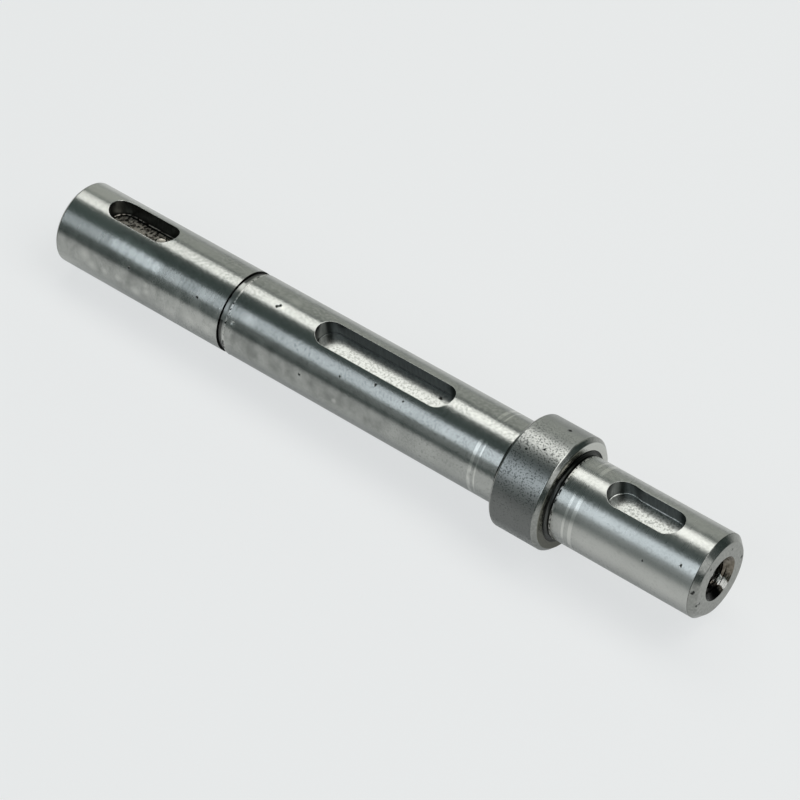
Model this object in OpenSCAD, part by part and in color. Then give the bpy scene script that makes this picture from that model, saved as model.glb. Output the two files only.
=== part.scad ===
// Output shaft for a small gear motor: one steel piece, turned, ground and slotted for three keys.
// It is drawn along +X from its left end, then laid at rest on its left end and its collar's rim.

/* [Journals] */
// Diameter of both journals and of the hub seat between them
shaft_d = 14; // [12:0.5:16]
// Length of the left journal, from its end to the ring groove
left_len = 34; // [28:0.5:45]
// Length of the hub seat, from the ring groove to the collar
seat_len = 54; // [46:0.5:70]
// Length of the right journal, from the collar to its end
right_len = 26.7; // [24:0.1:40]
// Chamfer on the left end
left_chamfer = 0.5; // [0.2:0.1:1]
// Chamfer on the right end
right_chamfer = 1; // [0.2:0.1:1.4]

/* [Collar] */
// Diameter of the collar
collar_d = 19; // [18:0.5:24]
// Length of the collar
collar_len = 8.8; // [6:0.1:14]
// Edge break on the collar's left rim
rim_left = 0.3; // [0.1:0.1:1]
// Chamfer on the collar's right rim
rim_right = 0.7; // [0.1:0.1:1.2]
// Radius of the round grinding relief in both shoulder corners
relief_r = 0.45; // [0.3:0.05:0.5]
// Depth of that relief below the journal and behind the shoulder
relief_t = 0.15; // [0.15:0.01:0.25]

/* [Ring groove] */
// Width of the retaining ring's groove
groove_w = 1.1; // [0.9:0.1:1.6]
// Depth of the groove below the journal
groove_t = 0.3; // [0.2:0.05:0.6]

/* [Keyways] */
// Width of the round-ended keyways
key_w = 5; // [4:0.5:6]
// Depth of the keyways below the crown of the shaft
key_t = 3; // [2:0.1:3.4]
// Length of the left journal's keyway
left_key_len = 13.2; // [8:0.1:18]
// Left keyway's distance from the left end
left_key_gap = 6.2; // [3:0.1:10]
// Turn of the left keyway about the axis, out of line with the hub's
left_key_turn = -11.8; // [-30:0.1:30]
// Length of the hub seat's keyway
hub_key_len = 26; // [12:0.5:30]
// Hub keyway's distance from the collar
hub_key_gap = 13.5; // [6:0.1:18]
// Length of the right journal's keyway
right_key_len = 13; // [8:0.5:14]
// Right keyway's distance from the right end
right_key_gap = 6.8; // [4:0.1:8]
// Turn of the right keyway about the axis, out of line with the hub's
right_key_turn = -2.5; // [-30:0.1:30]

/* [Tapped centres] */
// Core diameter of the tapped holes in both ends
tap_d = 5; // [4:0.1:5.5]
// Depth of the full core, from the end face
tap_depth = 16; // [10:0.5:20]
// Diameter of the countersunk mouth
mouth_d = 7.4; // [6:0.1:8]
// Full angle of the countersink
mouth_angle = 90; // [60:5:120]
// Full angle of the drill's point
drill_angle = 118; // [90:1:140]

/* [Hidden] */
steel = [0.55, 0.56, 0.56];
$fn = 128;
// Room by which a cutting tool runs out past the surface it starts from
runout = 1;

shaft_r = shaft_d / 2;
collar_r = collar_d / 2;
collar_at = left_len + groove_w + seat_len;
collar_end = collar_at + collar_len;
shaft_len = collar_end + right_len;

// Plan area of a round-ended keyway
function slot_area(len) = key_w * (len - key_w) + PI * pow(key_w / 2, 2);

// Roll at rest: the keyways are the only uneven cuts, so the shaft rolls until they lie on top
slot_areas = [slot_area(left_key_len), slot_area(hub_key_len), slot_area(right_key_len)];
slot_turns = [left_key_turn, 0, right_key_turn];
rest_roll = -(slot_areas * slot_turns) / (slot_areas * [1, 1, 1]);
// Turn of the turned blank's seam, which stays on the underside, beside the keyways' middle plane
seam_turn = 30;

// Tilt at rest: the line under the left end's lower edge and the collar's left rim becomes level
rest_span = collar_at + rim_left - left_chamfer;
rest_tilt = atan2(collar_r - shaft_r, rest_span);
rest_lift = shaft_r * cos(rest_tilt) - left_chamfer * sin(rest_tilt);
reach_left = -(shaft_r - left_chamfer) * sin(rest_tilt);
reach_right = shaft_len * cos(rest_tilt) + (shaft_r - right_chamfer) * sin(rest_tilt);

// Half section of a round bar with chamfered ends, in radius and station
module bar_section(r, from, len, chamfer_from, chamfer_to) {
    polygon([
        [0, from], [r - chamfer_from, from], [r, from + chamfer_from],
        [r, from + len - chamfer_to], [r - chamfer_to, from + len], [0, from + len]
    ]);
}

// Half section of the turned blank: journals, collar, ring groove and shoulder reliefs
module blank_section() {
    relief_off = relief_r - relief_t;
    difference() {
        union() {
            bar_section(shaft_r, 0, shaft_len, left_chamfer, right_chamfer);
            bar_section(collar_r, collar_at, collar_len, rim_left, rim_right);
        }
        translate([shaft_r - groove_t, left_len]) square([groove_t + runout, groove_w]);
        for (station = [collar_at - relief_off, collar_end + relief_off])
            translate([shaft_r + relief_off, station]) circle(relief_r);
    }
}

// Cutter for a closed, round-ended keyway that starts at a station, turned about the axis
module keyway(from, len, turn) {
    rotate([turn, 0, 0])
        translate([from, 0, shaft_r - key_t])
            linear_extrude(key_t + runout) {
                for (station = [key_w / 2, len - key_w / 2])
                    translate([station, 0]) circle(d = key_w);
                translate([key_w / 2, -key_w / 2]) square([len - key_w, key_w]);
            }
}

// Cutter for a tapped centre hole, from its mouth at station 0 along +X
module tapped_centre() {
    sink_depth = (mouth_d - tap_d) / 2 / tan(mouth_angle / 2);
    tip_len = tap_d / 2 / tan(drill_angle / 2);
    rotate([0, 90, 0])
        rotate_extrude()
            polygon([
                [0, -runout], [mouth_d / 2, -runout], [mouth_d / 2, 0], [tap_d / 2, sink_depth],
                [tap_d / 2, tap_depth], [0, tap_depth + tip_len]
            ]);
}

// Lays the shaft down, with the middle of its box above the origin
module at_rest() {
    translate([-(reach_left + reach_right) / 2, 0, rest_lift])
        rotate([rest_roll, -rest_tilt, 0]) children();
}

module shaft() {
    color(steel) at_rest() difference() {
        rotate([seam_turn, 0, 0]) rotate([0, 90, 0]) rotate_extrude() blank_section();
        keyway(left_key_gap, left_key_len, left_key_turn);
        keyway(collar_at - hub_key_gap - hub_key_len, hub_key_len, 0);
        keyway(shaft_len - right_key_gap - right_key_len, right_key_len, right_key_turn);
        tapped_centre();
        translate([shaft_len, 0, 0]) mirror([1, 0, 0]) tapped_centre();
    }
}

shaft();
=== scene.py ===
"""Steel output shaft of a small gear motor, lying on a pale studio floor.

The turned and slotted surface is worked out in the shaft's own frame, in millimetres: the station along
the axis from the left end, the roll about that axis from the top, and the radius. It is then laid down
as it comes to rest, propped up by its collar and with its keyways on top.
"""

import bmesh
import bpy
import numpy as np
from mathutils import Matrix, Vector


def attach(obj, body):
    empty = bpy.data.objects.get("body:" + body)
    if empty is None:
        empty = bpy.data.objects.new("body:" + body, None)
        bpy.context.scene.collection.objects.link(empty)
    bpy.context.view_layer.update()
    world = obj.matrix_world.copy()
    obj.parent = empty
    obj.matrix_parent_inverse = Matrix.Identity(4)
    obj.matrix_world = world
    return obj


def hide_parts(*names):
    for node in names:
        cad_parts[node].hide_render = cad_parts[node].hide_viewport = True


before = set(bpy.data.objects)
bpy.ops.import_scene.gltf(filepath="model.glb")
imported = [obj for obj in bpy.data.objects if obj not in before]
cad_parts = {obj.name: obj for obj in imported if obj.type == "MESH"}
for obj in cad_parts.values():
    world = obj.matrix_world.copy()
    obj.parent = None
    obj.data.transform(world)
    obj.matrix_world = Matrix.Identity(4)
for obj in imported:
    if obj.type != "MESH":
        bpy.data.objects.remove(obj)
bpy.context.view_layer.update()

MM = 0.001

# The turned blank
SHAFT_R = 7.0
SHAFT_LEN = 124.6
LEFT_CHAMFER = 0.5
RIGHT_CHAMFER = 1.0
GROOVE_AT = 34.0
GROOVE_W = 1.1
GROOVE_T = 0.3
COLLAR_AT = 89.1
COLLAR_LEN = 8.8
COLLAR_END = COLLAR_AT + COLLAR_LEN
COLLAR_R = 9.5
RIM_LEFT = 0.3
RIM_RIGHT = 0.7
RELIEF_R = 0.45
RELIEF_T = 0.15
# How far each turned edge is broken, from the left end to the right
LEFT_FACE_BREAK = 0.1
LEFT_CHAMFER_BREAK = 0.06
GROOVE_LEFT_BREAK = 0.04
GROOVE_RIGHT_BREAK = 0.1
LEFT_SHOULDER_BREAK = 0.08
LEFT_RIM_BREAK = 0.1
RIGHT_RIM_BREAK = 0.12
RIGHT_SHOULDER_BREAK = 0.12
RIGHT_CHAMFER_BREAK = 0.05
RIGHT_FACE_BREAK = 0.12
# The ring groove's right edge has a ragged lip: its height, its spread along the shaft, the mean and the
# swing of the share of that height round the shaft, and how often its waves run round
LIP_RISE = 0.05
LIP_SPREAD = 0.22
LIP_MEAN = 0.4
LIP_SWING = 1.6
LIP_WAVES = (7, 13, 19, 29, 37, 47, 59)
LIP_SEED = 5

# The keyways, each with its first station, its length and its turn about the axis in degrees
KEY_W = 5.0
KEY_T = 3.0
KEYWAYS = {
    "left": (6.2, 13.2, -11.8),
    "hub": (49.6, 26.0, 0.0),
    "right": (104.8, 13.0, -2.5),
}
KEY_FILLET = 0.14
KEY_BREAK = 0.06
# Share of the left keyway's floor, from its middle line outwards, beyond which old oil has blackened it
OILY_FROM = 0.9
# Station, side step and radius of a first plunge that was cut oversize and off the middle line
PLUNGES = {"right": (107.3, -0.1, 2.65)}

# The tapped centres
TAP_R = 2.5
TAP_DEPTH = 16.0
MOUTH_R = 3.7
THREAD_R = 3.0
PITCH = 1.0
THREAD_END = 13.0
DRILL_TIP = 1.5

# Mesh steps: columns round the shaft, rows along it, and the rings of a keyway. A thin row next to each
# bend keeps the smooth shading of the bend out of the plain faces beside it
COLUMNS = 160
ROW_STEP = 0.8
LIP_STEP = 0.12
THIN_ROW = 0.04
ROUND_POINTS = 4
RELIEF_POINTS = 10
WINDOW_MARGIN = 1.3
WINDOW_COLUMNS = 15
FLOOR_RINGS = 9
FILLET_RINGS = 5
WALL_SHARES = (0.02, 0.5, 0.98, 1)
BREAK_RINGS = 5
SPREAD_RINGS = 8
SINK_ROWS = 8
THREAD_ROWS = 8
# Least change of slope that makes a bend, in radians, and least angle of a sharp edge, in degrees
BEND = 0.01
SHARP_EDGE = 28
# Points nearer than the first are joined, and lengths nearer than the second are the same
WELD = 0.002
TOUCH = 1e-6
# Half width of the band of radii in which the shoulder reliefs lie
RELIEF_BAND = 0.5

# Material slots of the mesh, in order
GROUND, COLLAR, TURNED, FLOOR, WALL, GROOVE, THREAD = range(7)


def rest_pose():
    """Turn and shift from the shaft's own frame to the floor: it rolls until the keyways, weighed by their
    plan area, lie on top, and tips until the left end's edge and the collar's left rim are level."""
    areas = np.array([KEY_W * (length - KEY_W) + np.pi * KEY_W**2 / 4 for _, length, _ in KEYWAYS.values()])
    turns = np.radians([turn for _, _, turn in KEYWAYS.values()])
    roll = -(areas @ turns) / areas.sum()
    tilt = np.arctan2(COLLAR_R - SHAFT_R, COLLAR_AT + RIM_LEFT - LEFT_CHAMFER)
    lift = SHAFT_R * np.cos(tilt) - LEFT_CHAMFER * np.sin(tilt)
    reach_left = -(SHAFT_R - LEFT_CHAMFER) * np.sin(tilt)
    reach_right = SHAFT_LEN * np.cos(tilt) + (SHAFT_R - RIGHT_CHAMFER) * np.sin(tilt)
    turn = Matrix.Rotation(-tilt, 3, "Y") @ Matrix.Rotation(roll, 3, "X")
    return np.array(turn), np.array([-(reach_left + reach_right) / 2, 0, lift])


REST_TURN, REST_SHIFT = rest_pose()


def around(station, roll, radius):
    """Points of the own frame at a station, a roll from the top and a radius."""
    station, roll, radius = np.broadcast_arrays(station, roll, radius)
    return np.stack([station, -radius * np.sin(roll), radius * np.cos(roll)], axis=-1)


def softened(corners):
    """Half section through the corners (station, radius, break): each corner is cut back along both sides
    by its break and rounded by a parabola between the cuts."""
    points = np.array([corner[:2] for corner in corners], float)
    s = np.linspace(0, 1, ROUND_POINTS)[:, None]
    parts = [points[:1]]
    for before, corner, after, (_, _, cut) in zip(points, points[1:], points[2:], corners[1:]):
        if cut:
            start = corner + (before - corner) * cut / np.linalg.norm(before - corner)
            end = corner + (after - corner) * cut / np.linalg.norm(after - corner)
            parts.append((1 - s) ** 2 * start + 2 * s * (1 - s) * corner + s**2 * end)
        else:
            parts.append(corner[None])
    return np.concatenate(parts + [points[-1:]])


def relief(shoulder, side):
    """Corners of the round grinding relief where a journal meets a shoulder: an arc about a centre that
    stands off from both by the radius less the depth. Side is -1 left of the collar and 1 right of it."""
    off = RELIEF_R - RELIEF_T
    reach = np.sqrt(RELIEF_R**2 - off**2)
    angles = np.linspace(np.arctan2(-off, -reach), np.arctan2(reach, off), RELIEF_POINTS)
    stations = shoulder + side * off - side * RELIEF_R * np.cos(angles)
    radii = SHAFT_R + off + RELIEF_R * np.sin(angles)
    return [(x, r, 0) for x, r in zip(stations, radii)][::-side]


def half_section():
    """Rows of the turned skin as station and radius, from the left hole's mouth to the right hole's."""
    groove_floor = SHAFT_R - GROOVE_T
    groove_end = GROOVE_AT + GROOVE_W
    corners = [
        (0, MOUTH_R, 0),
        (0, SHAFT_R - LEFT_CHAMFER, LEFT_FACE_BREAK),
        (LEFT_CHAMFER, SHAFT_R, LEFT_CHAMFER_BREAK),
        *[(x, SHAFT_R, 0) for x in window_stations("left")],
        (GROOVE_AT, SHAFT_R, GROOVE_LEFT_BREAK),
        (GROOVE_AT, groove_floor, 0),
        (groove_end, groove_floor, 0),
        (groove_end, SHAFT_R, GROOVE_RIGHT_BREAK),
        (GROOVE_AT + 2 * GROOVE_W, SHAFT_R, 0),
        *[(x, SHAFT_R, 0) for x in window_stations("hub")],
        *relief(COLLAR_AT, -1),
        (COLLAR_AT, COLLAR_R - RIM_LEFT, LEFT_SHOULDER_BREAK),
        (COLLAR_AT + RIM_LEFT, COLLAR_R, LEFT_RIM_BREAK),
        (COLLAR_END - RIM_RIGHT, COLLAR_R, RIGHT_RIM_BREAK),
        (COLLAR_END, COLLAR_R - RIM_RIGHT, RIGHT_SHOULDER_BREAK),
        *relief(COLLAR_END, 1),
        *[(x, SHAFT_R, 0) for x in window_stations("right")],
        (SHAFT_LEN - RIGHT_CHAMFER, SHAFT_R, RIGHT_CHAMFER_BREAK),
        (SHAFT_LEN, SHAFT_R - RIGHT_CHAMFER, RIGHT_FACE_BREAK),
        (SHAFT_LEN, MOUTH_R, 0),
    ]
    line = softened(corners)
    middle = (line[:-1, 0] + line[1:, 0]) / 2
    by_groove = (middle > GROOVE_AT) & (middle < GROOVE_AT + 2 * GROOVE_W)
    sides = np.diff(line, axis=0)
    slopes = np.arctan2(sides[:, 1], sides[:, 0])
    bends = np.abs(np.diff(slopes, prepend=0, append=0)) > BEND
    rows = []
    for i, side in enumerate(sides):
        length = np.linalg.norm(side)
        step = LIP_STEP if by_groove[i] else ROW_STEP
        shares = np.arange(0, 1, 1 / np.ceil(length / step))
        if length > 3 * THIN_ROW:
            thin = np.array([THIN_ROW, length - THIN_ROW])[bends[i : i + 2]]
            shares = np.union1d(shares, thin / length)
        rows.append(line[i] + shares[:, None] * side)
    return np.concatenate(rows + [line[-1:]])


def window_stations(name):
    """Stations that bound a keyway's window in the skin, and the centres of its two round ends."""
    at, length, _ = KEYWAYS[name]
    return at - WINDOW_MARGIN, at + KEY_W / 2, at + length - KEY_W / 2, at + length + WINDOW_MARGIN


def quads(rows, columns, closed):
    """Faces of a grid of points, wrapped round its columns where it is closed."""
    grid = np.arange(rows * columns).reshape(rows, columns)
    if closed:
        grid = np.concatenate([grid, grid[:, :1]], axis=1)
    return np.stack([grid[:-1, :-1], grid[:-1, 1:], grid[1:, 1:], grid[1:, :-1]], axis=-1)


def skin_finish(line):
    """Finish of each band between two rows: the ground journals, the collar, and what is only turned."""
    middle = (line[:-1] + line[1:]) / 2
    slope = np.abs(np.diff(line[:, 1])) > TOUCH
    finish = np.where(slope, TURNED, GROUND)
    on_collar = (middle[:, 0] > COLLAR_AT - TOUCH) & (middle[:, 0] < COLLAR_END)
    finish[on_collar & (middle[:, 1] > COLLAR_R - TOUCH)] = COLLAR
    finish[middle[:, 1] < SHAFT_R - LIP_RISE] = GROOVE
    on_end = (middle[:, 0] < LEFT_CHAMFER) | (middle[:, 0] > SHAFT_LEN - RIGHT_CHAMFER)
    finish[on_end] = TURNED
    in_relief = slope & (np.abs(middle[:, 1] - SHAFT_R - RELIEF_R / 2) < RELIEF_BAND) & ~on_end
    off_middle = np.abs(middle[:, 0] - COLLAR_AT - COLLAR_LEN / 2)
    finish[in_relief & (off_middle > COLLAR_LEN / 2 - RELIEF_T)] = GROOVE
    return finish


def groove_lip(station, roll):
    """Height of the ragged lip on the ring groove's right edge: a bell along the shaft times a wavy share
    round it, which is a sum of sines with phases from a fixed seed."""
    waves = np.array(LIP_WAVES)[:, None]
    phases = np.random.default_rng(LIP_SEED).uniform(0, 2 * np.pi, waves.shape)
    swing = np.sin(waves * roll + phases).mean(axis=0) * LIP_SWING
    bell = np.exp(-(((station - GROOVE_AT - GROOVE_W) / LIP_SPREAD) ** 2))
    return LIP_RISE * bell * (LIP_MEAN + swing)


def turned_skin():
    """The blank's outside: the half section carried round the axis, with a window left open for each
    keyway. Returns its points, faces and finishes, and the grid lines of each window."""
    line = half_section()
    rolls = np.linspace(-np.pi, np.pi, COLUMNS, endpoint=False)
    lip = groove_lip(line[:, :1], rolls[None, :])
    points = around(line[:, :1], rolls[None, :], line[:, 1:] + lip)
    faces = quads(len(line), COLUMNS, closed=True)
    finish = np.repeat(skin_finish(line)[:, None], COLUMNS, axis=1)
    keep = np.ones(finish.shape, bool)
    windows = {}
    for name, (_, _, turn) in KEYWAYS.items():
        bounds = window_stations(name)
        first = np.argmin(np.abs(line[:, 0] - bounds[0]))
        last = np.argmin(np.abs(line[:, 0] - bounds[-1]))
        middle = int(np.argmin(np.abs(rolls - np.radians(turn))))
        left, right = middle - WINDOW_COLUMNS, middle + WINDOW_COLUMNS
        keep[first:last, left:right] = False
        windows[name] = line[first : last + 1, 0], rolls[left : right + 1]
    return (points.reshape(-1, 3), faces[keep], finish[keep]), windows


def keyway_pocket(name, stations, rolls):
    """One keyway in its window: rings of the slot's round-ended outline, set in or out from its wall. They
    run from its middle line over the floor, the base fillet, the wall and the edge break to the shaft's
    round surface, where they spread to the window's own border."""
    at, length, turn = KEYWAYS[name]
    turn = np.radians(turn)
    half = KEY_W / 2
    low, high = at + half, at + length - half
    border = np.concatenate([
        np.stack([stations[:-1], np.full(len(stations) - 1, rolls[0])], axis=1),
        np.stack([np.full(len(rolls) - 1, stations[-1]), rolls[:-1]], axis=1),
        np.stack([stations[:0:-1], np.full(len(stations) - 1, rolls[-1])], axis=1),
        np.stack([np.full(len(rolls) - 1, stations[0]), rolls[:0:-1]], axis=1),
    ])
    centre = np.clip(border[:, 0], low, high)
    away = np.stack([border[:, 0] - centre, SHAFT_R * (border[:, 1] - turn)], axis=1)
    away /= np.linalg.norm(away, axis=1, keepdims=True)

    wall = np.full(len(border), half)
    if name in PLUNGES:
        plunge_at, step, radius = PLUNGES[name]
        offset = np.stack([plunge_at - centre, np.full(len(border), step)], axis=1)
        along = (offset * away).sum(axis=1)
        beyond = np.maximum(radius**2 - (offset**2).sum(axis=1) + along**2, 0)
        wall = np.maximum(wall, along + np.sqrt(beyond))

    def ring(reach, height):
        """Outline at that reach from the middle line, at a height above the axis."""
        across = reach * away[:, 1]
        side = across * -np.cos(turn) - height * np.sin(turn)
        up = across * -np.sin(turn) + height * np.cos(turn)
        return np.stack([centre + reach * away[:, 0], side, up + 0 * side], axis=1)

    def crown(reach):
        """Height of the round surface over the outline at that reach."""
        return np.sqrt(SHAFT_R**2 - (reach * away[:, 1]) ** 2)

    floor = SHAFT_R - KEY_T
    rings, finish = [], []
    for share in 1 - np.linspace(1, 0, FLOOR_RINGS) ** 2:
        rings.append(ring(share * (wall - KEY_FILLET), floor))
        finish.append(GROOVE if name == "left" and share > OILY_FROM else FLOOR)
    for angle in np.linspace(0, np.pi / 2, FILLET_RINGS)[1:]:
        reach = wall - KEY_FILLET * (1 - np.sin(angle))
        rings.append(ring(reach, floor + KEY_FILLET * (1 - np.cos(angle))))
        # The hub keyway's fillet takes the walls' painted dark tone, as painted shade in its corner
        finish.append(WALL if name == "hub" else FLOOR)
    wall_foot = floor + KEY_FILLET
    wall_top = crown(wall) - KEY_BREAK
    for share in WALL_SHARES:
        rings.append(ring(wall, wall_foot + share * (wall_top - wall_foot)))
        finish.append(WALL)
    for angle in np.linspace(0, np.pi / 2, BREAK_RINGS)[1:]:
        reach = wall + KEY_BREAK * (1 - np.cos(angle))
        rings.append(ring(reach, wall_top + np.sin(angle) * (crown(reach) - wall_top)))
        finish.append(GROUND)
    edge = wall + KEY_BREAK
    edge_station = centre + edge * away[:, 0]
    edge_roll = turn + np.arcsin(edge * away[:, 1] / SHAFT_R)
    for share in np.linspace(0, 1, SPREAD_RINGS)[1:] ** 2:
        station = edge_station + share * (border[:, 0] - edge_station)
        roll = edge_roll + share * (border[:, 1] - edge_roll)
        rings.append(around(station, roll, SHAFT_R))
        finish.append(GROUND)
    faces = quads(len(rings), len(border), closed=True)
    finish = np.repeat(np.array(finish[1:])[:, None], len(border), axis=1)
    return np.concatenate(rings), faces.reshape(-1, 4), finish.ravel()


def tapped_bore(end, inward):
    """A tapped centre: at each depth the radius is the larger of the countersink's cone and the thread, a
    60 degree groove that advances one pitch a turn and fades out above the plain core and drill point."""
    sink = MOUTH_R - TAP_R
    depths = np.concatenate([
        np.linspace(0, sink, SINK_ROWS, endpoint=False),
        np.arange(sink, THREAD_END + PITCH, PITCH / THREAD_ROWS),
        [TAP_DEPTH],
    ])
    rolls = np.linspace(-np.pi, np.pi, COLUMNS, endpoint=False)
    depth, roll = np.meshgrid(depths, rolls, indexing="ij")
    phase = (depth / PITCH - inward * roll / (2 * np.pi)) % 1
    off_groove = np.abs(phase - 0.5) * PITCH
    groove = THREAD_R + (PITCH / 16 - off_groove) * np.sqrt(3)
    tallest = np.clip(TAP_R + (THREAD_END - depth) / PITCH, TAP_R, THREAD_R)
    radius = np.maximum(MOUTH_R - depth, np.clip(groove, TAP_R, tallest))
    points = around(end + inward * depth, roll, radius).reshape(-1, 3)
    tip = np.array([[end + inward * (TAP_DEPTH + DRILL_TIP), 0, 0]])
    faces = quads(len(depths), COLUMNS, closed=True).reshape(-1, 4)
    rim = len(points) - COLUMNS + np.arange(COLUMNS)
    tip_index = np.full(COLUMNS, len(points))
    cone = np.stack([rim, np.roll(rim, -1), tip_index, tip_index], axis=1)
    faces = np.concatenate([faces, cone])
    return np.concatenate([points, tip]), faces, np.full(len(faces), THREAD)


def joined(parts):
    """Points, faces and finishes of several parts as one set, with the face indices moved on."""
    starts = np.cumsum([0] + [len(points) for points, _, _ in parts])
    return (
        np.concatenate([points for points, _, _ in parts]),
        np.concatenate([faces + start for (_, faces, _), start in zip(parts, starts)]),
        np.concatenate([finish for _, _, finish in parts]),
    )


def turned_shaft():
    """The whole shaft as one closed mesh, laid at rest, with its own-frame millimetres as an attribute and
    a map whose first direction runs along the shaft."""
    skin, windows = turned_skin()
    parts = [skin, tapped_bore(0, 1), tapped_bore(SHAFT_LEN, -1)]
    parts += [keyway_pocket(name, *window) for name, window in windows.items()]
    points, faces, finish = joined(parts)
    mesh = bpy.data.meshes.new("turned_shaft")
    mesh.from_pydata((points @ REST_TURN.T + REST_SHIFT) * MM, [], faces.tolist())
    mesh.polygons.foreach_set("material_index", finish.astype(np.int32))
    work = bmesh.new()
    work.from_mesh(mesh)
    bmesh.ops.remove_doubles(work, verts=work.verts, dist=WELD * MM)
    bmesh.ops.recalc_face_normals(work, faces=work.faces)
    work.to_mesh(mesh)
    work.free()
    mesh.polygons.foreach_set("use_smooth", np.ones(len(mesh.polygons), bool))
    mesh.set_sharp_from_angle(angle=np.radians(SHARP_EDGE))

    places = np.empty(len(mesh.vertices) * 3, np.float32)
    mesh.vertices.foreach_get("co", places)
    own = (places.reshape(-1, 3) / MM - REST_SHIFT) @ REST_TURN
    own_mm = mesh.attributes.new("own_mm", "FLOAT_VECTOR", "POINT")
    own_mm.data.foreach_set("vector", own.astype(np.float32).ravel())
    add_round_map(mesh, own)
    shaft = bpy.data.objects.new("turned_shaft", mesh)
    bpy.context.scene.collection.objects.link(shaft)
    return shaft


def add_round_map(mesh, own):
    """Map of each corner: share of the way along the half section, and share of a turn about the axis,
    unwrapped within its face."""
    corner_vertex = np.empty(len(mesh.loops), np.int32)
    mesh.loops.foreach_get("vertex_index", corner_vertex)
    sizes = np.empty(len(mesh.polygons), np.int32)
    mesh.polygons.foreach_get("loop_total", sizes)
    turn = np.arctan2(-own[:, 1], own[:, 2])[corner_vertex] / (2 * np.pi)
    first = np.repeat(turn[np.concatenate([[0], np.cumsum(sizes)[:-1]])], sizes)
    turn = turn - np.round(turn - first)
    along = (own[:, 0] + np.hypot(own[:, 1], own[:, 2]))[corner_vertex] / SHAFT_LEN
    layer = mesh.uv_layers.new(name="round_map")
    layer.uv.foreach_set("vector", np.stack([along, turn], axis=1).astype(np.float32).ravel())


def linear(hex_colour):
    """An sRGB hex colour as linear red, green, blue and alpha."""
    value = np.array([int(hex_colour[i : i + 2], 16) for i in (1, 3, 5)]) / 255
    value = np.where(value <= 0.04045, value / 12.92, ((value + 0.055) / 1.055) ** 2.4)
    return (*value.tolist(), 1.0)


def add(tree, kind, inputs=None, **settings):
    """A node of that kind. Settings are its own properties, and inputs gives its sockets values, single
    outputs to link, or nodes, whose first live output is linked."""
    node = tree.nodes.new("ShaderNode" + kind)
    for name, value in settings.items():
        setattr(node, name, value)
    for socket, value in (inputs or {}).items():
        if isinstance(value, bpy.types.Node):
            value = next(output for output in value.outputs if output.enabled)
        if isinstance(value, bpy.types.NodeSocket):
            tree.links.new(value, node.inputs[socket])
        else:
            node.inputs[socket].default_value = value
    return node


def between(start, end, low=0.0, high=1.0):
    """Socket values of a share that goes from low to high while its value goes from start to end."""
    return {"From Min": start, "From Max": end, "To Min": low, "To Max": high}


def new_material(name):
    """An empty node material, its tree, and the own-frame millimetres of the surface."""
    material = bpy.data.materials.new(name)
    material.use_nodes = True
    tree = material.node_tree
    tree.nodes.clear()
    own = add(tree, "Attribute", attribute_name="own_mm").outputs["Vector"]
    return material, tree, own


def finish_steel(tree, inputs):
    """Ends a steel finish: bare metal in the Principled shader, on the material's output."""
    steel = add(tree, "BsdfPrincipled", {"Metallic": 1.0, **inputs})
    add(tree, "OutputMaterial", {"Surface": steel})


def pattern(tree, own, size, detail=3.0):
    """Noise over the own frame, in patches of that many millimetres along, across and up."""
    at = add(tree, "Mapping", {"Vector": own, "Scale": tuple(1 / np.array(size))})
    return add(tree, "TexNoise", {"Vector": at, "Scale": 1.0, "Detail": detail})


# Size of the noise that makes the edges of spots ragged, and how far it moves them
RAGGED_SIZE = 0.25
RAGGED_REACH = 0.5


def spots(tree, own, places, core=0.6):
    """Share that falls from 1 to 0 between the core and the size of any place (station, roll in degrees,
    radius, size), with the edges made ragged by a fine noise."""
    at = add(tree, "Mapping", {"Vector": own, "Scale": 3 * (1 / RAGGED_SIZE,)})
    wobble = add(tree, "TexNoise", {"Vector": at, "Scale": 1.0}).outputs["Color"]
    ragged = add(tree, "VectorMath", {0: wobble, 1: 3 * (RAGGED_REACH,), 2: own}, operation="MULTIPLY_ADD")
    ragged = add(tree, "VectorMath", {0: ragged, 1: 3 * (RAGGED_REACH / 2,)}, operation="SUBTRACT")
    total = 0.0
    for station, roll, radius, size in places:
        place = around(station, np.radians(roll), radius)
        far = add(tree, "VectorMath", {0: ragged, 1: place}, operation="DISTANCE")
        spot = add(tree, "MapRange", {"Value": far, **between(size, core * size)})
        total = add(tree, "Math", {0: spot, 1: total}, operation="MAXIMUM")
    return total


# Small pits and nicks, each with its station, roll, radius and size
JOURNAL_PITS = [
    (15.4, 56.9, SHAFT_R, 0.3), (29.0, 45.9, SHAFT_R, 0.25), (41.8, 5.0, SHAFT_R, 0.32),
    (42.15, 1.8, SHAFT_R, 0.3), (63.6, 31.5, SHAFT_R, 0.3), (57.5, 43.9, SHAFT_R, 0.2),
    (69.0, 32.8, SHAFT_R, 0.2), (50.6, 70.1, SHAFT_R, 0.25), (115.0, 59.8, SHAFT_R, 0.25),
    (120.9, 40.7, SHAFT_R, 0.25),
]
COLLAR_PITS = [(94.3, -28.9, COLLAR_R, 0.42), (93.9, 7.3, COLLAR_R, 0.22), (91.5, 15.4, COLLAR_R, 0.22)]
FACE_NICKS = [
    (COLLAR_END, -49.2, 7.3, 0.35), (SHAFT_LEN, 26.2, 5.2, 0.3), (SHAFT_LEN, -39.8, 4.9, 0.25),
    (SHAFT_LEN, -95.4, 5.5, 0.35), (SHAFT_LEN, 91.0, 5.9, 0.3), (SHAFT_LEN, 93.0, 5.3, 0.3),
    (SHAFT_LEN - RIGHT_CHAMFER / 2, 66.0, 6.75, 0.45),
]
FLOOR_PITS = [(9.35, -24.3, 4.1, 0.22), (72.3, -16.0, 4.17, 0.4)]
# Dimple that the end mill left where it was lifted out of the left keyway; its pale core and black rim are
# painted highlight and shade
MILL_DIMPLES = [(15.9, -20.0, 4.05, 1.0)]
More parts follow.
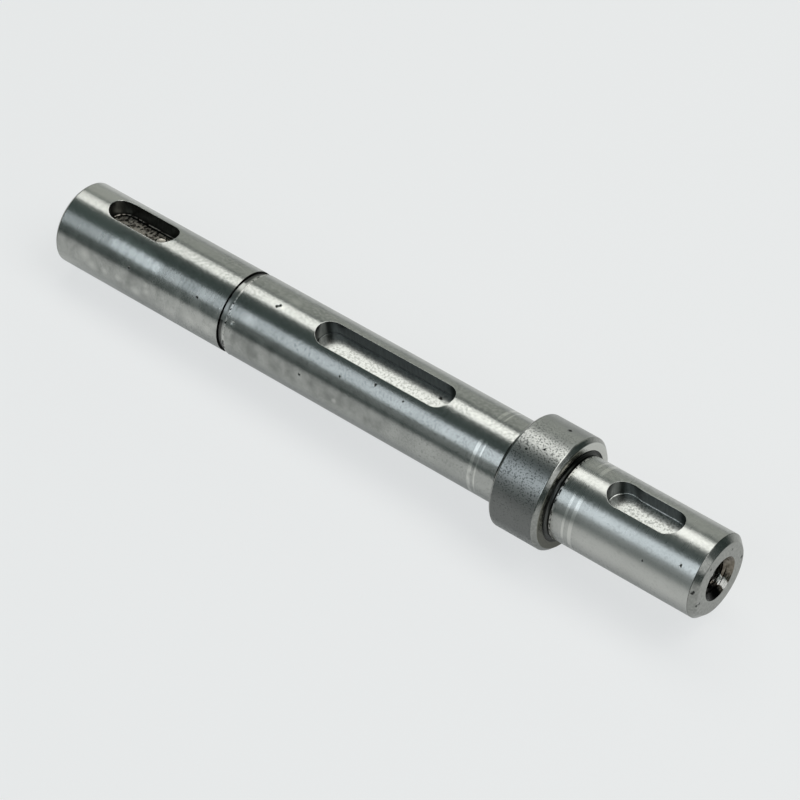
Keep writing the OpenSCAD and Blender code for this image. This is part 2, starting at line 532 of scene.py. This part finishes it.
# Pale smudges from handling, dried marks of a wet cloth, and a dent, with the same measures
SMUDGES = [
    (6.6, 73.0, SHAFT_R, 1.9), (8.0, 83.0, SHAFT_R, 1.7), (10.7, 81.0, SHAFT_R, 0.9),
    (13.6, 80.0, SHAFT_R, 1.0), (17.2, 86.0, SHAFT_R, 1.3), (19.3, 68.0, SHAFT_R, 0.9),
    (19.6, 76.0, SHAFT_R, 1.1), (28.6, 81.0, SHAFT_R, 2.2), (32.0, 80.0, SHAFT_R, 2.0),
    (39.0, 37.5, SHAFT_R, 1.9), (42.7, 2.5, SHAFT_R, 0.6), (43.6, -13.3, SHAFT_R, 1.4),
    (57.6, 79.9, SHAFT_R, 0.6), (120.2, -9.6, SHAFT_R, 1.3),
]
CLOTH_MARKS = [
    (11.6, 36.0, SHAFT_R, 1.7), (13.2, 35.0, SHAFT_R, 2.2), (15.0, 36.0, SHAFT_R, 2.1),
    (16.6, 36.5, SHAFT_R, 2.3), (18.3, 37.5, SHAFT_R, 2.2), (19.9, 38.0, SHAFT_R, 1.7),
]
DENTS = [(36.6, 52.2, SHAFT_R, 0.45)]
# Station and half width of the thin rings that hubs burnished, of two edges that were worn rough, the one at
# the collar's right shoulder with a painted highlight, and of the oil beside the collar
WORN_RINGS = [(83.5, 0.3), (84.5, 0.14), (101.0, 0.2), (102.3, 0.32)]
RUBBED_EDGES = [(35.2, 0.26), (98.7, 0.13)]
OILY_RINGS = [(COLLAR_AT - 0.8, 0.35)]

# Span that noise mostly keeps to, and spacing of the lathe's tool marks. The real marks are about 0.1 mm
# apart; drawn at 0.3 mm so that they show
NOISE_SPAN = (0.3, 0.7)
TOOL_MARKS = 0.3
# Where each finish fades in: where it starts and where it is full. These are stations along the shaft
BY_GROOVE = (38.0, 33.0)
OFF_LEFT_END = (18.0, 26.0)
LIT_LEFT_END = (18.0, 8.0)
DARKER_LEFT_END = (27.0, 19.0)
DARKER_SEAT = (76.0, 64.0)
DULL_AND_LIT_RIGHT_END = (97.0, 105.0)
PAINTED_LIGHT_FLOOR = (104.0, 111.0)
DARK_CORNER = (GROOVE_AT + 0.34, GROOVE_AT + 0.26)
SHADED_GROOVE_FLOOR = (GROOVE_AT + 0.95, GROOVE_AT + 0.75)
# These are steps from the axis to the rear, and so negative in front
JOURNAL_FRONT = (-2.0, -4.5)
LOW_FRONT = (-4.5, -6.0)
SPECKED_FRONT = (4.0, 0.0)
SHADED_COLLAR_FRONT = (-1.5, -3.5)
SHADED_COLLAR_REAR = (3.5, 5.5)
SHADED_SHOULDER = (4.0, 3.0)
SHADED_RELIEF = (-1.5, -3.5)
SHADED_BORE = (0.9, 0.1)
# These are heights above the axis
UPPER_FRONT = (-1.5, 1.0)
SHADED_COLLAR_SIDES = (7.2, 4.0)
UNSHADED_COLLAR_FOOT = (-4.5, -1.0)
# Middle and half width of the strips where the burnished rings don't show and where the groove's floor is
# left without its painted shade, as steps to the rear, and the depth to which the collar's right face is
# painted light and shade
TOP_MIDDLE = -0.95
TOP_HALF = 2.0
UNSHADED_MIDDLE = -2.6
UNSHADED_HALF = 3.0
SHOULDER_DEPTH = 0.1


def rings_at(tree, station, places):
    """Share that is 1 within the half width of any place along the shaft."""
    total = 0.0
    for middle, half in places:
        ring = add(tree, "Math", {0: station, 1: middle, 2: half}, operation="COMPARE")
        total = add(tree, "Math", {0: ring, 1: total}, operation="MAXIMUM")
    return total


def ground_journal_steel():
    """Carbon steel, cylindrically ground: fine lines round the axis spread its reflections along the shaft.
    It has pale smudges from handling, dull stains in front, small pits, rings that hubs burnished, darker
    patches low in front on the hub seat and near the left end, oil beside the collar, a painted highlight on
    the edge by the collar's right shoulder, painted light that makes its left end paler, and a right journal
    that use has dulled and that painted light makes paler, most of all low in front."""
    material, tree, own = new_material("ground_journal_steel")
    place = add(tree, "SeparateXYZ", {"Vector": own}).outputs
    # Grinding lines are about 0.02 mm apart; drawn ten times as far apart so that they show
    lines = pattern(tree, own, (0.2, 2.5, 2.5), 2.0)
    grain = pattern(tree, own, (0.5, 0.5, 0.5))
    clouds = pattern(tree, own, (5, 4, 4))
    patches = pattern(tree, own, (2.2, 3, 3), 2.0)

    # Burnished rings, and the ragged pale edges with black in their gaps; at the collar's right shoulder the
    # pale line is a painted highlight of the edge
    patchy = add(tree, "MapRange", {"Value": patches, **between(0.34, 0.5)})
    rings = rings_at(tree, place["X"], WORN_RINGS)
    rings = add(tree, "Math", {0: rings, 1: patchy}, operation="MULTIPLY")
    on_top = add(tree, "Math", {0: place["Y"], 1: TOP_MIDDLE, 2: TOP_HALF}, operation="COMPARE")
    rings = add(tree, "Math", {0: rings, 1: on_top}, operation="SUBTRACT", use_clamp=True)
    edges = rings_at(tree, place["X"], RUBBED_EDGES)
    ragged = add(tree, "MapRange", {"Value": grain, **between(0.42, 0.5)})
    lip = add(tree, "Math", {0: edges, 1: ragged}, operation="MULTIPLY")
    lip_gaps_black = add(tree, "Math", {0: edges, 1: lip}, operation="SUBTRACT")

    # Pale film, smudges and dull right journal, which painted light also makes paler, most of all low in
    # front
    front = add(tree, "MapRange", {"Value": place["Y"], **between(*JOURNAL_FRONT)})
    by_groove = add(tree, "MapRange", {"Value": place["X"], **between(*BY_GROOVE)})
    off_end = add(tree, "MapRange", {"Value": place["X"], **between(*OFF_LEFT_END, low=0.2)})
    handled = add(tree, "Math", {0: by_groove, 1: off_end}, operation="MULTIPLY")
    smudged = add(tree, "MapRange", {"Value": patches, **between(0.4, 0.62, high=0.5)})
    smudges = add(tree, "Math", {0: front, 1: handled}, operation="MULTIPLY")
    smudges = add(tree, "Math", {0: smudges, 1: smudged}, operation="MULTIPLY")
    pale_zone = spots(tree, own, CLOTH_MARKS, 0.3)
    overlay = add(tree, "Math", {0: smudges, 1: pale_zone}, operation="SUBTRACT", use_clamp=True)
    overlay = add(tree, "Math", {0: overlay, 1: lip}, operation="MAXIMUM")
    pale = add(tree, "Math", {0: spots(tree, own, SMUDGES, 0.1), 1: 0.6}, operation="MULTIPLY")
    pale = add(tree, "Math", {0: overlay, 1: pale}, operation="MAXIMUM")
    pale = add(tree, "Math", {0: pale, 1: spots(tree, own, DENTS)}, operation="MAXIMUM")
    pale = add(tree, "Math", {0: pale, 1: rings}, operation="MAXIMUM")
    low_down = add(tree, "MapRange", {"Value": place["Y"], **between(*LOW_FRONT)})
    over_edge = add(tree, "MapRange", {"Value": place["Z"], **between(*UPPER_FRONT)})
    low_down = add(tree, "Math", {0: low_down, 1: over_edge}, operation="MULTIPLY")
    # Painted light: the right journal is paler, most of all low in front; it is also rougher
    right_side = add(tree, "MapRange", {"Value": place["X"], **between(*DULL_AND_LIT_RIGHT_END, high=0.13)})
    share = add(tree, "Math", {0: low_down, 1: 3.2, 2: 1.0}, operation="MULTIPLY_ADD")
    dulled_and_painted_light = add(tree, "Math", {0: right_side, 1: share}, operation="MULTIPLY")
    pale = add(tree, "Math", {0: pale, 1: dulled_and_painted_light}, operation="MAXIMUM")

    # Stains in front, darker patches low in front on the hub seat and near the left end, painted light at
    # the left end, and what is black
    stains_and_darker_low_front = add(tree, "MapRange", {"Value": grain, **between(0.5, 0.66, high=0.6)})
    stains_and_darker_low_front = add(tree, "Math", {0: stains_and_darker_low_front, 1: front}, operation="MULTIPLY")
    # Darker in patches low in front, on the hub seat and near the left end
    hub_side = add(tree, "MapRange", {"Value": place["X"], **between(*DARKER_SEAT, high=0.5)})
    past_groove = add(tree, "Math", {0: place["X"], 1: GROOVE_AT}, operation="GREATER_THAN")
    darker_low_front = add(tree, "Math", {0: hub_side, 1: past_groove}, operation="MULTIPLY")
    darker_left_end = add(tree, "MapRange", {"Value": place["X"], **between(*DARKER_LEFT_END, high=0.4)})
    darker_low_front = add(tree, "Math", {0: darker_low_front, 1: darker_left_end}, operation="MAXIMUM")
    darker_low_front = add(tree, "Math", {0: darker_low_front, 1: low_down}, operation="MULTIPLY")
    smeared = add(tree, "MapRange", {"Value": patches, **between(*NOISE_SPAN, low=1.8, high=0.2)})
    darker_low_front = add(tree, "Math", {0: darker_low_front, 1: smeared}, operation="MULTIPLY")
    stains_and_darker_low_front = add(tree, "Math", {0: stains_and_darker_low_front, 1: darker_low_front}, operation="MAXIMUM")
    # Painted light: the left end is paler, but not low in front
    painted_light_left_end = add(tree, "MapRange", {"Value": place["X"], **between(*LIT_LEFT_END, high=0.65)})
    painted_light_left_end = add(tree, "Math", {0: painted_light_left_end, 1: low_down}, operation="SUBTRACT", use_clamp=True)
    pale = add(tree, "Math", {0: pale, 1: painted_light_left_end}, operation="MAXIMUM")
    pits = spots(tree, own, JOURNAL_PITS)
    blackening = rings_at(tree, place["X"], OILY_RINGS)
    black = add(tree, "Math", {0: pits, 1: blackening}, operation="MAXIMUM")
    black = add(tree, "Math", {0: black, 1: lip_gaps_black}, operation="MAXIMUM")

    cloudy = add(tree, "MapRange", {"Value": clouds, **between(*NOISE_SPAN)})
    mottled = add(tree, "MapRange", {"Value": grain, **between(0.35, 0.65)})
    tone = add(tree, "Mix", {
        "Factor": cloudy, "A": linear("#A3A5A2"), "B": linear("#BDBEBB"),
    }, data_type="RGBA")
    tone = add(tree, "Mix", {"Factor": mottled, "A": tone, "B": linear("#C3C4C1")}, data_type="RGBA")
    tone = add(tree, "Mix", {"Factor": stains_and_darker_low_front, "A": tone, "B": linear("#8B8D8A")}, data_type="RGBA")
    tone = add(tree, "Mix", {"Factor": pale, "A": tone, "B": linear("#DCDCD8")}, data_type="RGBA")
    tone = add(tree, "Mix", {"Factor": pale_zone, "A": tone, "B": linear("#F0F1EE")}, data_type="RGBA")
    tone = add(tree, "Mix", {"Factor": black, "A": tone, "B": linear("#2A2B2A")}, data_type="RGBA")

    rough = add(tree, "MapRange", {"Value": lines, **between(*NOISE_SPAN, low=0.24, high=0.27)})
    rough = add(tree, "Math", {0: overlay, 1: 0.07, 2: rough}, operation="MULTIPLY_ADD")
    rough = add(tree, "Math", {0: edges, 1: 0.1, 2: rough}, operation="MULTIPLY_ADD")
    rough = add(tree, "Math", {0: dulled_and_painted_light, 1: 0.25, 2: rough}, operation="MULTIPLY_ADD")
    bump = add(tree, "Bump", {"Height": grain, "Strength": 0.3, "Distance": 0.03 * MM})
    dents = spots(tree, own, DENTS, 0.1)
    bump = add(tree, "Bump", {
        "Height": dents, "Strength": 0.6, "Distance": 0.1 * MM, "Normal": bump,
    }, invert=True)
    bump = add(tree, "Bump", {
        "Height": pits, "Strength": 0.6, "Distance": 0.1 * MM, "Normal": bump,
    }, invert=True)
    tangent = add(tree, "Tangent", direction_type="UV_MAP", uv_map="round_map")
    finish_steel(tree, {
        "Base Color": tone, "Roughness": rough, "Normal": bump, "Anisotropic": 0.5, "Tangent": tangent,
    })
    return material


def rough_collar_steel():
    """Carbon steel, turned and left dull by scale: grainy, with dark specks and a few pits, and with painted
    shade that makes it darker in front, a little at the rear and down its sides, though not underneath."""
    material, tree, own = new_material("rough_collar_steel")
    place = add(tree, "SeparateXYZ", {"Vector": own}).outputs
    grain = pattern(tree, own, (0.25, 0.25, 0.25))
    clouds = pattern(tree, own, (3, 3, 3))
    pits = spots(tree, own, COLLAR_PITS)
    front = add(tree, "MapRange", {"Value": place["Y"], **between(*SPECKED_FRONT, low=0.25)})
    darkening = add(tree, "MapRange", {"Value": grain, **between(0.5, 0.6)})
    darkening = add(tree, "Math", {0: darkening, 1: front}, operation="MULTIPLY")
    cloudy = add(tree, "MapRange", {"Value": clouds, **between(*NOISE_SPAN)})
    tone = add(tree, "Mix", {
        "Factor": cloudy, "A": linear("#B9BAB8"), "B": linear("#C8C9C6"),
    }, data_type="RGBA")
    # Painted shade: darker in front, a little at the rear and down its sides, in the dark tone of the specks
    overlay = add(tree, "MapRange", {"Value": place["Y"], **between(*SHADED_COLLAR_FRONT, high=0.48)})
    behind = add(tree, "MapRange", {"Value": place["Y"], **between(*SHADED_COLLAR_REAR, high=0.2)})
    overlay = add(tree, "Math", {0: overlay, 1: behind}, operation="MAXIMUM")
    upper = add(tree, "MapRange", {"Value": place["Z"], **between(*SHADED_COLLAR_SIDES, high=0.86)})
    painted_shade = add(tree, "Math", {0: overlay, 1: upper}, operation="MAXIMUM")
    lower = add(tree, "MapRange", {"Value": place["Z"], **between(*UNSHADED_COLLAR_FOOT)})
    painted_shade = add(tree, "Math", {0: painted_shade, 1: lower}, operation="MULTIPLY")
    darkening = add(tree, "Math", {0: darkening, 1: painted_shade}, operation="MAXIMUM")
    tone = add(tree, "Mix", {"Factor": darkening, "A": tone, "B": linear("#6A6C6B")}, data_type="RGBA")
    tone = add(tree, "Mix", {"Factor": pits, "A": tone, "B": linear("#1E1F1E")}, data_type="RGBA")
    rough = add(tree, "MapRange", {"Value": grain, **between(*NOISE_SPAN, low=0.29, high=0.4)})
    bump = add(tree, "Bump", {"Height": grain, "Strength": 0.3, "Distance": 0.03 * MM}, invert=True)
    bump = add(tree, "Bump", {
        "Height": pits, "Strength": 0.7, "Distance": 0.15 * MM, "Normal": bump,
    }, invert=True)
    finish_steel(tree, {"Base Color": tone, "Roughness": rough, "Normal": bump})
    return material


def turned_face_steel():
    """Carbon steel, faced and chamfered on a lathe: grey with fine rings and a few nicks. The collar's right
    face has a painted reflection that makes it pale at the rear, and painted shade that makes it dark in
    front."""
    material, tree, own = new_material("turned_face_steel")
    place = add(tree, "SeparateXYZ", {"Vector": own}).outputs
    across = add(tree, "VectorMath", {0: own, 1: (0, 1, 1)}, operation="MULTIPLY")
    radius = add(tree, "VectorMath", {0: across}, operation="LENGTH")
    rings = add(tree, "TexNoise", {
        "W": radius, "Scale": 1 / TOOL_MARKS, "Detail": 2.0,
    }, noise_dimensions="1D")
    grain = pattern(tree, own, (0.45, 0.45, 0.45))
    nicks = spots(tree, own, FACE_NICKS)
    mottled = add(tree, "MapRange", {"Value": grain, **between(*NOISE_SPAN)})
    tone = add(tree, "Mix", {
        "Factor": mottled, "A": linear("#939491"), "B": linear("#ACADA9"),
    }, data_type="RGBA")
    # Painted reflection and shade: the collar's right face is pale at the rear and dark olive grey in front
    shoulder = add(tree, "Math", {0: place["X"], 1: COLLAR_END, 2: SHOULDER_DEPTH}, operation="COMPARE")
    ragged = add(tree, "Math", {0: grain, 1: 2.0, 2: place["Y"]}, operation="MULTIPLY_ADD")
    painted_face_shade = add(tree, "MapRange", {"Value": ragged, **between(*SHADED_SHOULDER)})
    painted_light = add(tree, "Mix", {
        "Factor": painted_face_shade, "A": linear("#D6D7D3"), "B": linear("#7A796F"),
    }, data_type="RGBA")
    tone = add(tree, "Mix", {"Factor": shoulder, "A": tone, "B": painted_light}, data_type="RGBA")
    tone = add(tree, "Mix", {"Factor": nicks, "A": tone, "B": linear("#3A3B3A")}, data_type="RGBA")
    bump = add(tree, "Bump", {"Height": rings, "Strength": 0.25, "Distance": 0.04 * MM})
    bump = add(tree, "Bump", {"Height": grain, "Strength": 0.25, "Distance": 0.03 * MM, "Normal": bump})
    finish_steel(tree, {"Base Color": tone, "Roughness": 0.22, "Normal": bump})
    return material


def milled_floor_steel():
    """Carbon steel, end milled: finely speckled, with a painted highlight that makes the right keyway's
    floor palest, and old oil and grit in the left."""
    material, tree, own = new_material("milled_floor_steel")
    station = add(tree, "SeparateXYZ", {"Vector": own}).outputs["X"]
    grain = pattern(tree, own, (0.35, 0.35, 0.35))
    dirt = pattern(tree, own, (0.5, 0.6, 0.6), 4.0)
    pits = spots(tree, own, FLOOR_PITS)
    dimples = spots(tree, own, MILL_DIMPLES, 0.3)
    # Painted highlight: the right keyway's floor is paler
    right = add(tree, "MapRange", {"Value": station, **between(*PAINTED_LIGHT_FLOOR)})
    tone = add(tree, "Mix", {
        "Factor": right, "A": linear("#BFC0BD"), "B": linear("#DADBD8"),
    }, data_type="RGBA")
    darkening = add(tree, "MapRange", {"Value": grain, **between(0.46, 0.62)})
    tone = add(tree, "Mix", {"Factor": darkening, "A": tone, "B": linear("#A4A5A2")}, data_type="RGBA")
    left = add(tree, "Math", {0: station, 1: GROOVE_AT}, operation="LESS_THAN")
    gritty = add(tree, "MapRange", {"Value": dirt, **between(0.42, 0.58)})
    grime = add(tree, "Mix", {
        "Factor": gritty, "A": linear("#2B2823"), "B": linear("#C2BCB1"),
    }, data_type="RGBA")
    tone = add(tree, "Mix", {"Factor": left, "A": tone, "B": grime}, data_type="RGBA")
    # Painted highlight and shade of the dimple: a pale core and a black rim
    painted_dimple_shade = add(tree, "Math", {0: dimples, 1: 0.2, 2: 0.15}, operation="COMPARE")
    painted_dimple_highlight = add(tree, "Math", {0: dimples, 1: 0.35}, operation="GREATER_THAN")
    tone = add(tree, "Mix", {"Factor": painted_dimple_highlight, "A": tone, "B": linear("#E2DCD1")}, data_type="RGBA")
    black = add(tree, "Math", {0: pits, 1: painted_dimple_shade}, operation="MAXIMUM")
    tone = add(tree, "Mix", {"Factor": black, "A": tone, "B": linear("#2A2A28")}, data_type="RGBA")
    rough = add(tree, "MapRange", {"Value": left, **between(0, 1, low=0.24, high=0.4)})
    rough = add(tree, "Math", {0: right, 1: 0.05, 2: rough}, operation="MULTIPLY_ADD")
    bump = add(tree, "Bump", {"Height": grain, "Strength": 0.3, "Distance": 0.02 * MM})
    bump = add(tree, "Bump", {
        "Height": dimples, "Strength": 0.7, "Distance": 0.2 * MM, "Normal": bump,
    }, invert=True)
    finish_steel(tree, {"Base Color": tone, "Roughness": rough, "Normal": bump})
    return material


def milled_wall_steel():
    """Carbon steel, side milled, with a dark tone painted on as shade and dark reflection: fine upright
    cutter marks.
    """
    material, tree, own = new_material("milled_wall_steel")
    marks = pattern(tree, own, (0.3, 0.3, 2.5))
    # Painted shade and reflection: the walls are given a dark tone
    tone = add(tree, "Mix", {
        "Factor": marks, "A": linear("#3B3E3D"), "B": linear("#6A6D6B"),
    }, data_type="RGBA")
    bump = add(tree, "Bump", {"Height": marks, "Strength": 0.25, "Distance": 0.03 * MM})
    finish_steel(tree, {"Base Color": tone, "Roughness": 0.3, "Normal": bump})
    return material


def painted_shade_groove_steel():
    """Carbon steel, grooved on a lathe, black in its left corner and, with painted shade, over most of its
    floor but for a strip from the top to the front. The shoulder reliefs are painted dark as shade too."""
    material, tree, own = new_material("painted_shade_groove_steel")
    dirt = pattern(tree, own, (0.4, 0.6, 0.6))
    place = add(tree, "SeparateXYZ", {"Vector": own}).outputs
    ragged = add(tree, "Math", {0: dirt, 1: 0.3, 2: place["X"]}, operation="MULTIPLY_ADD")
    corner = add(tree, "MapRange", {"Value": ragged, **between(*DARK_CORNER)})
    # Painted shade: most of the floor is black, but for a strip from the top to the front
    spread = add(tree, "MapRange", {"Value": ragged, **between(*SHADED_GROOVE_FLOOR, high=0.75)})
    pale_zone = add(tree, "Math", {0: place["Y"], 1: UNSHADED_MIDDLE, 2: UNSHADED_HALF}, operation="COMPARE")
    spread = add(tree, "Math", {0: spread, 1: pale_zone}, operation="SUBTRACT", use_clamp=True)
    # Painted shade: the shoulder reliefs are dark
    painted_relief_shade = add(tree, "MapRange", {"Value": place["Y"], **between(*SHADED_RELIEF, low=1.0, high=0.8)})
    by_collar = add(tree, "Math", {0: place["X"], 1: COLLAR_AT - 2 * RELIEF_R}, operation="GREATER_THAN")
    painted_relief_shade = add(tree, "Math", {0: painted_relief_shade, 1: by_collar}, operation="MULTIPLY")
    black = add(tree, "Math", {0: corner, 1: spread}, operation="MAXIMUM")
    black = add(tree, "Math", {0: black, 1: painted_relief_shade}, operation="MAXIMUM")
    tone = add(tree, "Mix", {
        "Factor": black, "A": linear("#B0B1AE"), "B": linear("#1E201E"),
    }, data_type="RGBA")
    bump = add(tree, "Bump", {"Height": dirt, "Strength": 0.3, "Distance": 0.03 * MM})
    finish_steel(tree, {"Base Color": tone, "Roughness": 0.28, "Normal": bump})
    return material


def tapped_thread_steel():
    """Carbon steel, drilled, countersunk and tapped, with rings from the tools and cutting oil gone brown.
    Painted shade makes it black in front, and a painted glint makes a strip on the lower rear side pale."""
    material, tree, own = new_material("tapped_thread_steel")
    place = add(tree, "SeparateXYZ", {"Vector": own}).outputs
    rings = add(tree, "TexNoise", {
        "W": place["X"], "Scale": 1 / TOOL_MARKS, "Detail": 2.0,
    }, noise_dimensions="1D")
    stain = pattern(tree, own, (0.8, 0.8, 0.8))
    brown = add(tree, "MapRange", {"Value": stain, **between(0.35, 0.65)})
    tone = add(tree, "Mix", {
        "Factor": brown, "A": linear("#8E877C"), "B": linear("#5A534A"),
    }, data_type="RGBA")
    # Painted glint: a pale strip low on the rear side of the bore
    side_step = add(tree, "Math", {0: stain, 1: 0.8, 2: place["Y"]}, operation="MULTIPLY_ADD")
    painted_light = add(tree, "Math", {0: side_step, 1: 1.8, 2: 0.55}, operation="COMPARE")
    below = add(tree, "Math", {0: place["Z"], 1: 0.0}, operation="LESS_THAN")
    painted_light = add(tree, "Math", {0: painted_light, 1: below}, operation="MULTIPLY")
    tone = add(tree, "Mix", {"Factor": painted_light, "A": tone, "B": linear("#D8D7D3")}, data_type="RGBA")
    # Painted shade: black in front, where the deep hole is in shade
    blackening = add(tree, "MapRange", {"Value": place["Y"], **between(*SHADED_BORE)})
    tone = add(tree, "Mix", {"Factor": blackening, "A": tone, "B": linear("#1C1B19")}, data_type="RGBA")
    bump = add(tree, "Bump", {"Height": rings, "Strength": 0.5, "Distance": 0.12 * MM})
    bump = add(tree, "Bump", {"Height": stain, "Strength": 0.4, "Distance": 0.08 * MM, "Normal": bump})
    finish_steel(tree, {"Base Color": tone, "Roughness": 0.22, "Normal": bump})
    return material


# Viewing angle: azimuth, elevation and roll of the camera in degrees, and its aim and distance
VIEW_AZIMUTH = 38.738
VIEW_ELEVATION = 48.263
VIEW_ROLL = -0.524
VIEW_AIM = Vector((2.778, -0.125, 8.724)) * MM
VIEW_DISTANCE = 556.4 * MM
LENS = 163.5
SENSOR = 36.0


def photo_camera():
    """Camera at the photograph's viewing angle, looking at its aim from the azimuth and elevation."""
    data = bpy.data.cameras.new("photo_camera")
    data.lens = LENS
    data.sensor_width = SENSOR
    data.clip_start = 0.02
    data.clip_end = 20.0
    camera = bpy.data.objects.new("photo_camera", data)
    turn = (
        Matrix.Rotation(np.radians(VIEW_AZIMUTH), 4, "Z")
        @ Matrix.Rotation(np.radians(90 - VIEW_ELEVATION), 4, "X")
        @ Matrix.Rotation(np.radians(VIEW_ROLL), 4, "Z")
    )
    camera.matrix_world = Matrix.Translation(VIEW_AIM) @ turn @ Matrix.Translation((0, 0, VIEW_DISTANCE))
    bpy.context.scene.collection.objects.link(camera)
    bpy.context.scene.camera = camera


def softbox(name, over, along, size, distance, radiance, colour="#FFFFFF", spin=0):
    """Area light that faces the shaft's middle. Over is its angle from overhead towards the camera's side,
    along its angle towards the right end and spin its turn in its own plane, in degrees; size is its width
    along the shaft and its height in metres, and its power is the radiance times pi times its area."""
    data = bpy.data.lights.new(name, "AREA")
    data.shape = "RECTANGLE"
    data.size, data.size_y = size
    data.energy = radiance * np.pi * size[0] * size[1]
    data.color = linear(colour)[:3]
    lamp = bpy.data.objects.new(name, data)
    over, along = np.radians(over), np.radians(along)
    away = Vector((np.sin(along), -np.cos(along) * np.sin(over), np.cos(along) * np.cos(over)))
    wide = Vector((1, 0, 0)) - away * away.x
    wide.normalize()
    tall = away.cross(wide)
    facing = Matrix((wide, tall, away)).transposed() @ Matrix.Rotation(np.radians(spin), 3, "Z")
    lamp.matrix_world = Matrix.Translation(away * distance) @ facing.to_4x4()
    lamp.visible_camera = False
    bpy.context.scene.collection.objects.link(lamp)


# The floor: half its side in metres, the share of its own white, and how much of that share the steel
# mirrors. In the steel it fades out over these steps to the rear, in metres, to the dim room
FLOOR_HALF = 4.0
FLOOR_WHITE = 0.69
FLOOR_MIRRORED = 0.33
FLOOR_AHEAD = (-0.06, -0.16)
FLOOR_BEHIND = (0.05, 0.13)
ROOM = {"Color": linear("#DAFFF8"), "Strength": 0.07}


def pale_floor():
    """Floor of pale paper. To the camera it is partly white of its own, so that the shadow on it stays pale;
    in the steel it is seen to fade out in front and behind, like a sheet in a dim room."""
    mesh = bpy.data.meshes.new("floor")
    half = FLOOR_HALF
    corners = [(-half, -half, 0), (half, -half, 0), (half, half, 0), (-half, half, 0)]
    mesh.from_pydata(corners, [], [(0, 1, 2, 3)])
    floor = bpy.data.objects.new("floor", mesh)
    bpy.context.scene.collection.objects.link(floor)
    paper = bpy.data.materials.new("floor_paper")
    paper.use_nodes = True
    tree = paper.node_tree
    tree.nodes.clear()
    path = add(tree, "LightPath").outputs
    mirrored = add(tree, "Math", {0: path["Is Glossy Ray"], 1: FLOOR_MIRRORED}, operation="MULTIPLY")
    seen = add(tree, "Math", {0: mirrored, 1: path["Is Camera Ray"]}, operation="ADD")
    share = add(tree, "Math", {0: seen, 1: FLOOR_WHITE}, operation="MULTIPLY")
    matt = add(tree, "BsdfDiffuse", {"Color": linear("#E4E3E1")})
    white = add(tree, "Emission", {"Color": linear("#F6F8F9"), "Strength": 1.0})
    sheet = add(tree, "MixShader", {"Fac": share, 1: matt, 2: white})
    at = add(tree, "TexCoord").outputs["Object"]
    rearward = add(tree, "SeparateXYZ", {"Vector": at}).outputs["Y"]
    ahead = add(tree, "MapRange", {"Value": rearward, **between(*FLOOR_AHEAD)})
    behind = add(tree, "MapRange", {"Value": rearward, **between(*FLOOR_BEHIND, high=0.5)})
    faded = add(tree, "Math", {0: ahead, 1: behind}, operation="ADD")
    faded = add(tree, "Math", {0: faded, 1: path["Is Glossy Ray"]}, operation="MULTIPLY")
    room = add(tree, "Emission", ROOM)
    surface = add(tree, "MixShader", {"Fac": faded, 1: sheet, 2: room})
    add(tree, "OutputMaterial", {"Surface": surface})
    mesh.materials.append(paper)


def softboxes():
    """Two long softboxes with a dark gap overhead between them, and weak fills."""
    softbox("rear_softbox", over=-19.3, along=-4, size=(0.85, 0.30), distance=0.62, radiance=1.8,
            colour="#FFFFFB", spin=-10)
    softbox("front_softbox", over=47, along=-5.2, size=(0.665, 0.335), distance=0.65, radiance=1.38,
            colour="#EEF7FF")
    softbox("front_glow", over=71, along=-5, size=(0.6, 0.27), distance=0.65, radiance=0.22)
    softbox("right_card", over=14, along=64, size=(0.25, 0.25), distance=0.6, radiance=0.9)
    softbox("rear_fill", over=-72, along=-10, size=(1.2, 0.72), distance=0.9, radiance=0.38,
            colour="#FFFFF6")
    softbox("right_fill", over=-10, along=34, size=(0.5, 0.5), distance=0.8, radiance=2.2)


def studio_world():
    """Dim room for the light, and a pale background for the camera."""
    world = bpy.data.worlds.new("studio_world")
    bpy.context.scene.world = world
    world.use_nodes = True
    tree = world.node_tree
    tree.nodes.clear()
    path = add(tree, "LightPath").outputs
    dim = add(tree, "Background", ROOM)
    pale = add(tree, "Background", {"Color": linear("#E3E9EA"), "Strength": 1.0})
    seen = add(tree, "MixShader", {"Fac": path["Is Camera Ray"], 1: dim, 2: pale})
    add(tree, "OutputWorld", {"Surface": seen})


shaft = turned_shaft()
finishes = [
    ground_journal_steel(), rough_collar_steel(), turned_face_steel(),
    milled_floor_steel(), milled_wall_steel(), painted_shade_groove_steel(), tapped_thread_steel(),
]
for finish in finishes:
    shaft.data.materials.append(finish)
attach(shaft, "root")
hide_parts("shaft")

photo_camera()
pale_floor()
softboxes()
studio_world()
bpy.context.scene.view_settings.view_transform = "Standard"
